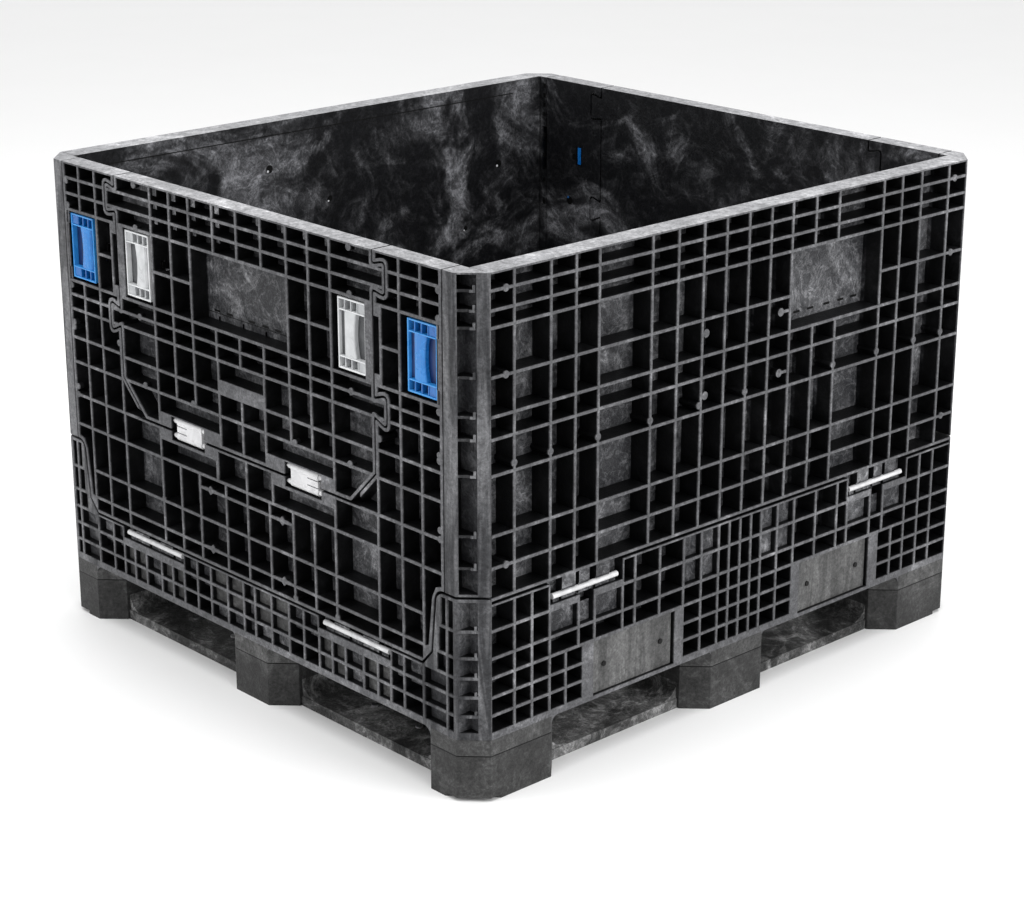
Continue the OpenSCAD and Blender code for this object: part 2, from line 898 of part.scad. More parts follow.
base_deck();
front_rim();  // base_front_rim
turned() front_rim();  // base_back_rim
turned() right_rim();  // base_left_rim
right_rim();  // base_right_rim
mirror([1, 0, 0]) base_corner();  // base_corner_front_left
base_corner();  // base_corner_front_right
turned() base_corner();  // base_corner_back_left
mirror([0, 1, 0]) base_corner();  // base_corner_back_right
base_legs();
foot_blocks();
cross_boards();
side_boards();
board_screws();
turned() right_plates();  // wear_plates_left
right_plates();  // wear_plates_right
plate_screws();  // wear_plate_screws
end_rods();  // front_hinge_rods
turned() end_rods();  // back_hinge_rods
turned() side_rods();  // left_hinge_rods
side_rods();  // right_hinge_rods
turned() right_wall();  // left_wall
right_wall();
mirror([1, 0, 0]) post();  // post_front_left
post();  // post_front_right
turned() post();  // post_back_left
mirror([0, 1, 0]) post();  // post_back_right
front_panel();  // front_wall_panel
mirror([1, 0, 0]) front_stile();  // front_wall_left_stile
front_stile();  // front_wall_right_stile
turned() front_panel();  // back_wall_panel
turned() front_stile();  // back_wall_left_stile
turned() mirror([1, 0, 0]) front_stile();  // back_wall_right_stile
mirror([1, 0, 0]) door_link();  // front_link_left
door_link();  // front_link_right
turned() door_link();  // back_link_left
turned() mirror([1, 0, 0]) door_link();  // back_link_right
front_door_shape();  // front_door
turned() front_door_shape();  // back_door
mirror([1, 0, 0]) blue_latch();  // front_wall_latch_left
blue_latch();  // front_wall_latch_right
turned() blue_latch();  // back_wall_latch_left
turned() mirror([1, 0, 0]) blue_latch();  // back_wall_latch_right
mirror([1, 0, 0]) grey_latch();  // front_door_latch_left
grey_latch();  // front_door_latch_right
turned() grey_latch();  // back_door_latch_left
turned() mirror([1, 0, 0]) grey_latch();  // back_door_latch_right
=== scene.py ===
# Looks of the collapsible pallet container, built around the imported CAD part. Metres.
import math

import bpy
import bmesh
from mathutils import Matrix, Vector


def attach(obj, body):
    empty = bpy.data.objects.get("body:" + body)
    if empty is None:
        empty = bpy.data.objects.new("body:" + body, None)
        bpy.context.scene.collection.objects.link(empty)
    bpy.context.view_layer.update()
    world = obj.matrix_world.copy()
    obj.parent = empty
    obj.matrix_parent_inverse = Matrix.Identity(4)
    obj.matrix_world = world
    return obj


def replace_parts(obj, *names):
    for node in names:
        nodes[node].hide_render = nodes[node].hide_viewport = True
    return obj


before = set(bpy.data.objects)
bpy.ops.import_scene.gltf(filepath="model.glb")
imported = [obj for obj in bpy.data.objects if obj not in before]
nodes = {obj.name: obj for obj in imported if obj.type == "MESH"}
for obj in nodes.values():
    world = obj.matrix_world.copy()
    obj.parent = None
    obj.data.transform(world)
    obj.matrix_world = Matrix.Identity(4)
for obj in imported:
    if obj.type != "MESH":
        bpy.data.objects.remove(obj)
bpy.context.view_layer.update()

HALF_W = 0.5715
HALF_L = 0.6096
CHAMFER = 0.0385
TOP = 0.864
FOOT_TOP = 0.079
FORK_TOP = 0.107
# height of the shut line inside the plain walls
SHUT_LINE = 0.838
# where the corner posts begin, along X and along Y
POST_X = 0.5055
POST_Y = 0.5655
# the clear space kept from the middle of a rib to a piece in its cell
RIB_GAP = 0.0026
# depths behind a side's outer face: round bosses, and marks just proud of the door's skin
BOSS = (0.0003, 0.0105)
DOOR_MARK = (0.0336, 0.0341)
CAMERA_PLACE = (3.136, -2.902, 1.789)
CAMERA_YAW = 47.19
CAMERA_PITCH = 19.06
CAMERA_LENS = 85.8


# ---------------------------------------------------------------- node helpers

class Graph:
    """A material's node tree, with short calls for the nodes used here."""

    def __init__(self, name):
        self.mat = bpy.data.materials.new(name)
        self.mat.use_nodes = True
        self.tree = self.mat.node_tree
        self.tree.nodes.clear()
        out = self.tree.nodes.new("ShaderNodeOutputMaterial")
        self.bsdf = self.tree.nodes.new("ShaderNodeBsdfPrincipled")
        self.tree.links.new(self.bsdf.outputs[0], out.inputs[0])

    def put(self, value, socket):
        if isinstance(value, bpy.types.NodeSocket):
            self.tree.links.new(value, socket)
        elif value is not None:
            socket.default_value = value

    def math(self, op, a, b=None, c=None, clamp=False):
        n = self.tree.nodes.new("ShaderNodeMath")
        n.operation = op
        n.use_clamp = clamp
        for i, v in enumerate((a, b, c)):
            self.put(v, n.inputs[i])
        return n.outputs[0]

    def step(self, value, low, high):
        """0 at low and 1 at high, smooth between; low may be the larger one."""
        n = self.tree.nodes.new("ShaderNodeMapRange")
        n.interpolation_type = "SMOOTHSTEP"
        n.clamp = True
        self.put(value, n.inputs[0])
        if low <= high:
            n.inputs[1].default_value = low
            n.inputs[2].default_value = high
        else:
            n.inputs[1].default_value = high
            n.inputs[2].default_value = low
            n.inputs[3].default_value = 1.0
            n.inputs[4].default_value = 0.0
        return n.outputs[0]

    def remap(self, value, a, b, c, d):
        """a to b becomes c to d, held at both ends."""
        n = self.tree.nodes.new("ShaderNodeMapRange")
        n.clamp = True
        self.put(value, n.inputs[0])
        for i, v in enumerate((a, b, c, d)):
            n.inputs[i + 1].default_value = v
        return n.outputs[0]

    def mix(self, factor, a, b, mode="MIX"):
        n = self.tree.nodes.new("ShaderNodeMix")
        n.data_type = "RGBA"
        n.blend_type = mode
        self.put(factor, n.inputs[0])
        for v, s in ((a, n.inputs[6]), (b, n.inputs[7])):
            if isinstance(v, (int, float)):
                v = (v, v, v, 1)
            elif isinstance(v, tuple) and len(v) == 3:
                v = (*v, 1)
            self.put(v, s)
        return n.outputs[2]

    def coords(self):
        """Place on the object, and normal."""
        n = self.tree.nodes.new("ShaderNodeTexCoord")
        return n.outputs["Object"], n.outputs["Normal"]

    def split(self, vector):
        n = self.tree.nodes.new("ShaderNodeSeparateXYZ")
        self.put(vector, n.inputs[0])
        return n.outputs[0], n.outputs[1], n.outputs[2]

    def scaled(self, vector, scale):
        n = self.tree.nodes.new("ShaderNodeMapping")
        self.put(vector, n.inputs[0])
        n.inputs["Scale"].default_value = scale
        return n.outputs[0]

    def noise(self, vector, scale, detail=4.0, rough=0.55, distortion=0.0, colour=False):
        n = self.tree.nodes.new("ShaderNodeTexNoise")
        self.put(vector, n.inputs["Vector"])
        n.inputs["Scale"].default_value = scale
        n.inputs["Detail"].default_value = detail
        n.inputs["Roughness"].default_value = rough
        n.inputs["Distortion"].default_value = distortion
        return n.outputs[1 if colour else 0]

    def warped(self, vector, scale, amount):
        """The vector pushed about by a coloured noise."""
        push = self.noise(vector, scale, 2.0, 0.5, 0.0, True)
        n = self.tree.nodes.new("ShaderNodeVectorMath")
        n.operation = "MULTIPLY_ADD"
        self.put(push, n.inputs[0])
        n.inputs[1].default_value = (amount, amount, amount)
        self.put(vector, n.inputs[2])
        return n.outputs[0]

    def veins(self, vector, scale, width, detail=5.0, rough=0.62, distortion=0.8):
        """Thin bright lines where a noise crosses its middle value."""
        n = self.noise(vector, scale, detail, rough, distortion)
        return self.step(self.math("ABSOLUTE", self.math("SUBTRACT", n, 0.5)), width, 0.0)

    def bump(self, height, strength, distance, under=None):
        n = self.tree.nodes.new("ShaderNodeBump")
        n.inputs["Strength"].default_value = strength
        n.inputs["Distance"].default_value = distance
        self.put(height, n.inputs["Height"])
        if under is not None:
            self.put(under, n.inputs["Normal"])
        return n.outputs[0]

    def finish(self, colour, roughness, normal=None, specular=0.5):
        self.put(colour, self.bsdf.inputs["Base Color"])
        self.put(roughness, self.bsdf.inputs["Roughness"])
        self.bsdf.inputs["Specular IOR Level"].default_value = specular
        if normal is not None:
            self.put(normal, self.bsdf.inputs["Normal"])
        return self.mat


def foam_plastic(name, streaks=0.0, plain=None, posts=False, seam=False):
    """Black structural foam with marbled grey swirls, toned per face: rib edges and rims painted pale
    as painted light and highlight, cells painted nearly black as painted shade.

    streaks mixes upright streaks in, plain gives one albedo range in place of the zones,
    posts sets the looks of the corner posts, and seam paints a dark line at the top of the feet as
    painted shade of the joint's groove.
    """
    g = Graph(name)
    pos, normal = g.coords()
    x, y, z = g.split(pos)
    nx, ny, nz = g.split(normal)
    ax = g.math("ABSOLUTE", x)
    ay = g.math("ABSOLUTE", y)
    dx = g.math("SUBTRACT", HALF_W, ax)
    dy = g.math("SUBTRACT", HALF_L, ay)
    past_chamfer = g.math("SUBTRACT", HALF_W + HALF_L - CHAMFER, g.math("ADD", ax, ay))
    dc = g.math("MULTIPLY", past_chamfer, 0.7071)
    depth = g.math("MINIMUM", g.math("MINIMUM", dx, dy), dc)
    front = g.step(depth, 0.0032, 0.0010)
    top = g.math("MULTIPLY", g.step(z, TOP - 0.0035, TOP - 0.0010), g.step(nz, 0.3, 0.8))
    # outward-looking faces, such as the inner skin at the back of a cell
    ox = g.math("MULTIPLY", nx, g.math("SIGN", x))
    oy = g.math("MULTIPLY", ny, g.math("SIGN", y))
    outward = g.math("MAXIMUM", g.math("MULTIPLY", ox, g.step(dx, 0.06, 0.05)),
                     g.math("MULTIPLY", oy, g.step(dy, 0.06, 0.05)))
    inward = g.math("MAXIMUM", g.math("MULTIPLY", ox, -1.0), g.math("MULTIPLY", oy, -1.0))
    outward = g.step(outward, 0.5, 0.9)
    # the cargo side: inner faces of the walls, and the top of the floor
    floor_up = g.math("MULTIPLY", g.step(nz, 0.5, 0.9), g.step(z, 0.17, 0.163))
    inside = g.math("MULTIPLY", g.step(inward, 0.5, 0.9), g.step(depth, 0.030, 0.034))
    inside = g.math("MAXIMUM", inside, g.math("MULTIPLY", floor_up, g.step(z, 0.155, 0.160)))
    # swirls: large patches, wisps and crinkled veins in them, and fine grain
    clouds = g.step(g.noise(g.warped(pos, 3.2, 0.16), 4.2, 4.0, 0.66, 1.2), 0.45, 0.66)
    wisps = g.step(g.noise(g.warped(pos, 7.0, 0.09), 13.0, 5.0, 0.72, 2.0), 0.46, 0.68)
    crinkle = g.veins(g.warped(pos, 24.0, 0.035), 26.0, 0.045, 4.0)
    hairs = g.veins(pos, 85.0, 0.055, 3.0, 0.62, 1.6)
    fine = g.noise(pos, 210.0, 3.0, 0.68, 0.4)
    grit = g.noise(pos, 75.0, 3.0, 0.66, 0.8)
    patch = g.math("MULTIPLY_ADD", clouds, 0.72, g.math("MULTIPLY", wisps, 0.28))
    lines = g.math("MULTIPLY_ADD", crinkle, 0.6, g.math("MULTIPLY", hairs, 0.4))
    marble = g.math("MULTIPLY", patch, g.math("MULTIPLY_ADD", wisps, 0.55, 0.30))
    lit_lines = g.math("MULTIPLY", lines, g.math("MULTIPLY_ADD", patch, 0.42, 0.10))
    marble = g.math("ADD", marble, lit_lines, clamp=True)
    if streaks or posts:
        drip = g.step(g.noise(g.scaled(pos, (34, 34, 2.4)), 1.0, 4.0, 0.64, 0.7), 0.40, 0.66)
    if streaks:
        marble = g.math("ADD", g.math("MULTIPLY", marble, 1 - streaks),
                        g.math("MULTIPLY", drip, streaks), clamp=True)
    speck = g.math("MULTIPLY", g.remap(fine, 0.28, 0.72, 0.62, 1.40),
                   g.remap(grit, 0.3, 0.7, 0.72, 1.30))
    # albedo of each zone: lit and shaded tones of the one foam. The rib sides in the cells are
    # painted nearly black as painted shade, the cell backs and cargo faces are lighter, the rib edges
    # are painted lighter as painted light, and the rims' tops are lighter still as painted highlight
    rib_side_shade = g.mix(marble, (0.0022, 0.0023, 0.0026), (0.0125, 0.0128, 0.0140))
    skin_top = 0.120 if posts else 0.300
    skin = g.mix(g.math("MULTIPLY_ADD", lines, 0.16, g.math("MULTIPLY", marble, 0.95), clamp=True),
                 (0.022, 0.0225, 0.0250), (skin_top, skin_top * 1.005, skin_top * 1.05))
    cloudy = g.math("MULTIPLY_ADD", clouds, 0.85, 0.25)
    cargo = g.mix(g.math("MULTIPLY", marble, cloudy, clamp=True),
                  (0.0034, 0.0036, 0.0044), (0.215, 0.217, 0.232))
    edge = g.mix(marble, (0.068, 0.0685, 0.073), (0.225, 0.226, 0.237))
    rim = g.mix(g.math("MULTIPLY_ADD", marble, 0.75, g.math("MULTIPLY", grit, 0.25)),
                (0.135, 0.136, 0.143), (0.50, 0.50, 0.515))
    colour = g.mix(outward, rib_side_shade, skin)
    colour = g.mix(inside, colour, cargo)
    colour = g.mix(front, colour, edge)
    # on the posts the front faces take a darker tone with upright streaks in place of the
    # painted-light edge tone
    if posts:
        bands = g.mix(g.math("MULTIPLY_ADD", drip, 0.7, g.math("MULTIPLY", marble, 0.3)),
                      (0.026, 0.0265, 0.029), (0.180, 0.181, 0.189))
        past_post = g.math("MAXIMUM", g.math("SUBTRACT", ax, POST_X), g.math("SUBTRACT", ay, POST_Y))
        near = g.step(past_post, 0.0, 0.0004)
        colour = g.mix(g.math("MULTIPLY", near, front), colour, bands)
    colour = g.mix(top, colour, rim)
    if plain:
        colour = g.mix(marble, (plain[0],) * 3, (plain[1],) * 3)
    if seam:
        # painted shade: a dark line where the legs meet the feet, for the groove's shade
        groove_shade = g.step(g.math("ABSOLUTE", g.math("SUBTRACT", z, FOOT_TOP)), 0.0013, 0.0006)
        colour = g.mix(groove_shade, colour, (0.003, 0.003, 0.0032))
    colour = g.mix(1.0, colour, speck, "MULTIPLY")
    # thin dark line below the rim, on the inner faces of the plain walls: painted shade of the shut
    # line's groove, which is not cut
    level = g.step(g.math("ABSOLUTE", g.math("SUBTRACT", z, SHUT_LINE)), 0.0016, 0.0006)
    facing_in = g.step(g.math("MULTIPLY", ox, -1.0), 0.5, 0.9)
    line = g.math("MULTIPLY", level, g.math("MULTIPLY", g.step(ay, 0.500, 0.490), facing_in))
    line = g.math("MULTIPLY", line, g.step(dx, 0.030, 0.034))
    colour = g.mix(line, colour, (0.002, 0.002, 0.002))
    rough = g.remap(marble, 0.0, 1.0, 0.46, 0.66)
    grain = g.bump(fine, 0.30, 0.0007)
    swell = g.bump(lines, 0.22, 0.0012, grain)
    return g.finish(colour, rough, swell, 0.16)


def gloss_plastic(name, low, high, rough=0.3, soil=0.0):
    """Moulded coloured plastic with faint flow marks and, where soil says so, a little dirt."""
    g = Graph(name)
    pos = g.coords()[0]
    flow = g.noise(g.warped(pos, 30.0, 0.02), 38.0, 4.0, 0.55, 0.8)
    fine = g.noise(pos, 420.0, 3.0, 0.6)
    colour = g.mix(g.step(flow, 0.35, 0.7), low, high)
    if soil:
        dirt = g.step(g.noise(pos, 60.0, 5.0, 0.65, 0.6), 0.56, 0.74)
        colour = g.mix(g.math("MULTIPLY", dirt, soil), colour, (0.12, 0.11, 0.10))
    roughness = g.remap(flow, 0.3, 0.7, rough - 0.05, rough + 0.08)
    return g.finish(colour, roughness, g.bump(fine, 0.12, 0.0003), 0.5)


def metal(name):
    g = Graph(name)
    pos = g.coords()[0]
    stain = g.noise(pos, 240.0, 4.0, 0.6, 0.3)
    colour = g.mix(g.step(stain, 0.4, 0.7), (0.42, 0.42, 0.44), (0.70, 0.70, 0.72))
    g.bsdf.inputs["Metallic"].default_value = 1.0
    return g.finish(colour, g.remap(stain, 0.3, 0.7, 0.25, 0.5), g.bump(stain, 0.1, 0.0003))


BLACK = foam_plastic("foam_black")
POST = foam_plastic("foam_post", posts=True)
FEET = foam_plastic("foam_feet", plain=(0.024, 0.085), seam=True)
LEGS = foam_plastic("foam_legs", plain=(0.036, 0.130), seam=True)
PLATE = foam_plastic("foam_plate", streaks=0.65, plain=(0.050, 0.135))
# the boards' and ramps' pale end is raised as painted light on their tops, which the lamps leave in
# shade
BOARD = foam_plastic("foam_board", plain=(0.022, 0.46))
SHALLOW = foam_plastic("foam_shallow", plain=(0.034, 0.125))
# near-black painted shade, put in slots, notches, dimples, openings and bores
SHADE_BLACK = foam_plastic("painted_shade_black", plain=(0.0015, 0.004))
# stands for the light in small holes that are not cut through
PALE = gloss_plastic("hole_light", (0.55, 0.56, 0.58), (0.65, 0.66, 0.68), 0.5)
# lit and shaded copies of each latch plastic: the _edge or _lit copies are painted lighter on the
# frame's front rails as painted highlight, the _bar copies are a lighter tone for the grip bar, and
# the _deep or _shade copies are painted dark in the hollow as painted shade
BLUE = gloss_plastic("latch_blue", (0.003, 0.088, 0.31), (0.006, 0.125, 0.40), 0.28)
BLUE_LIT = gloss_plastic("latch_blue_lit_edge", (0.018, 0.200, 0.53), (0.036, 0.255, 0.61), 0.28)
BLUE_BAR = gloss_plastic("latch_blue_bar", (0.006, 0.145, 0.45), (0.014, 0.190, 0.53), 0.25)
BLUE_SHADE = gloss_plastic("latch_blue_painted_shade", (0.004, 0.016, 0.075), (0.006, 0.026, 0.110), 0.35)
GREY_SHADE = gloss_plastic("latch_grey_painted_shade", (0.050, 0.052, 0.055), (0.090, 0.092, 0.097), 0.4)
GREY = gloss_plastic("latch_grey", (0.33, 0.34, 0.35), (0.45, 0.46, 0.47), 0.33, 0.30)
GREY_LIT = gloss_plastic("latch_grey_lit_edge", (0.56, 0.57, 0.58), (0.68, 0.69, 0.70), 0.30, 0.12)
GREY_BAR = gloss_plastic("latch_grey_bar", (0.46, 0.47, 0.48), (0.56, 0.57, 0.58), 0.30, 0.15)
WHITE = gloss_plastic("link_white", (0.50, 0.50, 0.51), (0.63, 0.63, 0.64), 0.32, 0.30)
STEEL = metal("screw_steel")


def coat(obj, mat):
    obj.data.materials.clear()
    obj.data.materials.append(mat)


def round_edges(obj, width):
    """A bevel on the sharp edges."""
    bevel = obj.modifiers.new("bevel", "BEVEL")
    bevel.width = width
    bevel.segments = 2
    bevel.limit_method = "ANGLE"
    bevel.angle_limit = math.radians(35)
    return bevel


def soften(obj, width):
    """Rounds the edges of a CAD node, whose vertices are joined first."""
    weld = obj.modifiers.new("weld", "WELD")
    weld.merge_threshold = 0.00002
    bevel = round_edges(obj, width)
    bevel.use_clamp_overlap = True
    bevel.harden_normals = False
    for p in obj.data.polygons:
        p.use_smooth = False


for name, obj in nodes.items():
    # the wear plates' screws are drawn in the painted-shade black
    if name == "wear_plate_screws":
        coat(obj, SHADE_BLACK)
    elif "screw" in name:
        coat(obj, STEEL)
    elif "rods" in name or "link" in name:
        coat(obj, WHITE)
    elif "door_latch" in name:
        coat(obj, GREY)
    elif "wall_latch" in name:
        coat(obj, BLUE)
    elif "wear_plates" in name:
        coat(obj, PLATE)
    elif "boards" in name:
        coat(obj, BOARD)
    elif name == "foot_blocks":
        coat(obj, FEET)
    elif name == "base_legs":
        coat(obj, LEGS)
    elif name.startswith("post") or "corner" in name:
        coat(obj, POST)
    else:
        coat(obj, BLACK)

# ---------------------------------------------------------------- floor, light, camera

floor_mesh = bpy.data.meshes.new("floor")
bm = bmesh.new()
bmesh.ops.create_grid(bm, x_segments=1, y_segments=1, size=30)
bm.to_mesh(floor_mesh)
bm.free()
floor = bpy.data.objects.new("floor", floor_mesh)
bpy.context.scene.collection.objects.link(floor)
g = Graph("floor_white")
pale_floor = g.mix(g.noise(g.coords()[0], 3.0), (0.86, 0.86, 0.86), (0.88, 0.88, 0.88))
coat(floor, g.finish(pale_floor, 0.6, None, 0.2))

world = bpy.data.worlds.new("studio")
bpy.context.scene.world = world
world.use_nodes = True
world.node_tree.nodes["Background"].inputs[0].default_value = (1, 1, 1, 1)
world.node_tree.nodes["Background"].inputs[1].default_value = 0.95


def area(name, place, aim, size, power):
    data = bpy.data.lights.new(name, "AREA")
    data.shape = "RECTANGLE"
    data.size, data.size_y = size
    data.energy = power
    lamp = bpy.data.objects.new(name, data)
    bpy.context.scene.collection.objects.link(lamp)
    lamp.location = place
    lamp.rotation_mode = "QUATERNION"
    lamp.rotation_quaternion = (Vector(aim) - Vector(place)).to_track_quat("-Z", "Y")


area("top_light", (0.2, -0.2, 3.6), (0, 0, 0.5), (3.4, 3.4), 120)
area("left_light", (-1.6, -4.2, 2.0), (0, 0, 0.45), (2.6, 2.2), 40)
area("right_light", (4.4, 0.9, 1.9), (0, 0, 0.45), (2.4, 2.2), 95)

cam_data = bpy.data.cameras.new("camera")
cam = bpy.data.objects.new("camera", cam_data)
bpy.context.scene.collection.objects.link(cam)
bpy.context.scene.camera = cam
cam_data.sensor_width = 36
cam_data.lens = CAMERA_LENS
cam_data.clip_start = 0.1
cam_data.clip_end = 100
cam.location = CAMERA_PLACE
yaw, pitch = math.radians(CAMERA_YAW), math.radians(CAMERA_PITCH)
aim = Vector((-math.sin(yaw) * math.cos(pitch), math.cos(yaw) * math.cos(pitch),
              -math.sin(pitch)))
cam.rotation_mode = "QUATERNION"
cam.rotation_quaternion = aim.to_track_quat("-Z", "Y")

# ---------------------------------------------------------------- pieces made here

def spot(face, u, d, z):
    """A point on one of the four sides: along it, behind its outer face, and up."""
    if face == "front":
        return (u, -HALF_L + d, z)
    if face == "back":
        return (-u, HALF_L - d, z)
    if face == "right":
        return (HALF_W - d, u, z)
    return (-HALF_W + d, -u, z)


class Piece:
    """Collects closed prisms into one mesh, which rides a body; edge is the width of its bevel."""

    def __init__(self, name, mats, body, slot, edge=0.0006):
        self.name, self.mats, self.body, self.slot, self.edge = name, mats, body, slot, edge
        self.bm = bmesh.new()

    def hull(self, low, high, mat=0):
        """A prism from one ring of points to another."""
        a = [self.bm.verts.new(p) for p in low]
        b = [self.bm.verts.new(p) for p in high]
        n = len(a)
        faces = [self.bm.faces.new(a[::-1]), self.bm.faces.new(b)]
        for i in range(n):
            faces.append(self.bm.faces.new((a[i], a[(i + 1) % n], b[(i + 1) % n], b[i])))
        for f in faces:
            f.material_index = mat

    def plate(self, face, outline, d0, d1, mat=0):
        """An outline on one side, from depth d0 to d1."""
        self.hull([spot(face, u, d0, z) for u, z in outline],
                  [spot(face, u, d1, z) for u, z in outline], mat)

    def block(self, face, u, z, d, mat=0):
        u0, u1 = sorted(u)
        self.plate(face, [(u0, z[0]), (u1, z[0]), (u1, z[1]), (u0, z[1])], d[0], d[1], mat)

    def disc(self, face, u, z, r, d, mat=0, sides=20):
        turns = [2 * math.pi * i / sides for i in range(sides)]
        ring = [(u + r * math.cos(a), z + r * math.sin(a)) for a in turns]
        self.plate(face, ring, d[0], d[1], mat)

    def done(self):
        bmesh.ops.recalc_face_normals(self.bm, faces=self.bm.faces)
        mesh = bpy.data.meshes.new(self.name)
        self.bm.to_mesh(mesh)
        self.bm.free()
        obj = bpy.data.objects.new(self.name, mesh)
        bpy.context.scene.collection.objects.link(obj)
        for m in self.mats:
            mesh.materials.append(m)
        if self.edge:
            round_edges(obj, self.edge)
        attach(obj, self.body)
        return obj


def latch(end, side, kind):
    """A sliding latch: frame, ladder at both ends, curved grip bar and the hollow for the fingers."""
    s = 1 if (side == "right") == (end == "front") else -1
    # outer edge of the frame, tip of the bolt and tip of the guide tongue
    edge, bolt, guide = (0.493, 0.5175, 0.404) if kind == "wall" else (0.3255, 0.3555, 0.237)
    width, mid, half = 0.069, 0.714, 0.0585
    rail, rail_in = 0.0032, 0.0031
    rung, rung_in = 0.0190, 0.0191
    face, back = 0.003, 0.0136
    # slots: plain plastic, painted shade for the hollow, painted-lit rails, grip bar, and
    # painted-shade black for the hidden guide tongue
    if kind == "wall":
        mats, slot = [BLUE, BLUE_SHADE, BLUE_LIT, BLUE_BAR, SHADE_BLACK], "blue_plastic"
    else:
        mats, slot = [GREY, GREY_SHADE, GREY_LIT, GREY_BAR, SHADE_BLACK], "grey_plastic"
    piece = Piece(f"{end}_{kind}_latch_{side}_looks", mats, f"{end}_{kind}_latch_{side}",
                  slot, 0.0009)

    def u(v):
        return s * (edge - width + v)

    def bar(v0, v1, z0, z1, d0, d1, mat=0):
        piece.block(end, (u(v0), u(v1)), (mid + z0, mid + z1), (d0, d1), mat)

    bar(0.0005, width - 0.0005, -half + 0.0005, half - 0.0005, 0.0135, 0.031, 1)
    for v0, v1 in ((0, rail), (width - rail, width)):
        bar(v0, v1, -half, half, face, back, 2)
    for t in (1, -1):
        def z(a, b):
            return sorted((t * a, t * b))
        bar(rail_in, width - rail_in, *z(half - rail, half), face, back, 2)
        bar(rail_in, width - rail_in, *z(half - 0.0215, half - rung), face, back, 2)
        for v0, v1 in ((0.0150, 0.0182), (0.0305, 0.0337), (0.0460, 0.0492)):
            bar(v0, v1, *z(half - rung_in, half - rail_in), 0.0036, back)
        bar(0.0491, width - rail_in, *z(half - rung_in, half - rail_in), 0.0045, back)
    bar(rail_in, 0.0120, -half + 0.0214, half - 0.0214, 0.0090, back, 1)
    # grip bar: crowned across, its inner edge hollowed
    reach = half - 0.0212
    steps = 10
    crest = 0.0245
    bm = piece.bm
    rings = []
    for i in range(steps + 1):
        t = -1 + 2 * i / steps
        inner = 0.0385 + 0.0045 * t * t
        section = [(0.0120, 0.0085), (0.0150, 0.0052), (crest - 0.003, 0.0036),
                   (crest + 0.006, 0.0034), (inner - 0.0010, 0.0046), (inner, 0.0062),
                   (inner, back), (0.0120, back)]
        rings.append([bm.verts.new(spot(end, u(v), d, mid + reach * t)) for v, d in section])
    n = len(rings[0])
    bm.faces.new(rings[0])
    bm.faces.new(rings[-1][::-1])
    for a, b in zip(rings, rings[1:]):
        for i in range(n):
            bm.faces.new((a[i], a[(i + 1) % n], b[(i + 1) % n], b[i])).material_index = 3
    bar(width - 0.001, bolt - edge + width, -0.040, 0.040, 0.016, 0.026)
    bar(guide - edge + width, 0.001, -0.014, 0.014, 0.018, 0.024, 4)
    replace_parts(piece.done(), f"{end}_{kind}_latch_{side}")


for end in ("front", "back"):
    for side in ("left", "right"):
        for kind in ("wall", "door"):
            latch(end, side, kind)

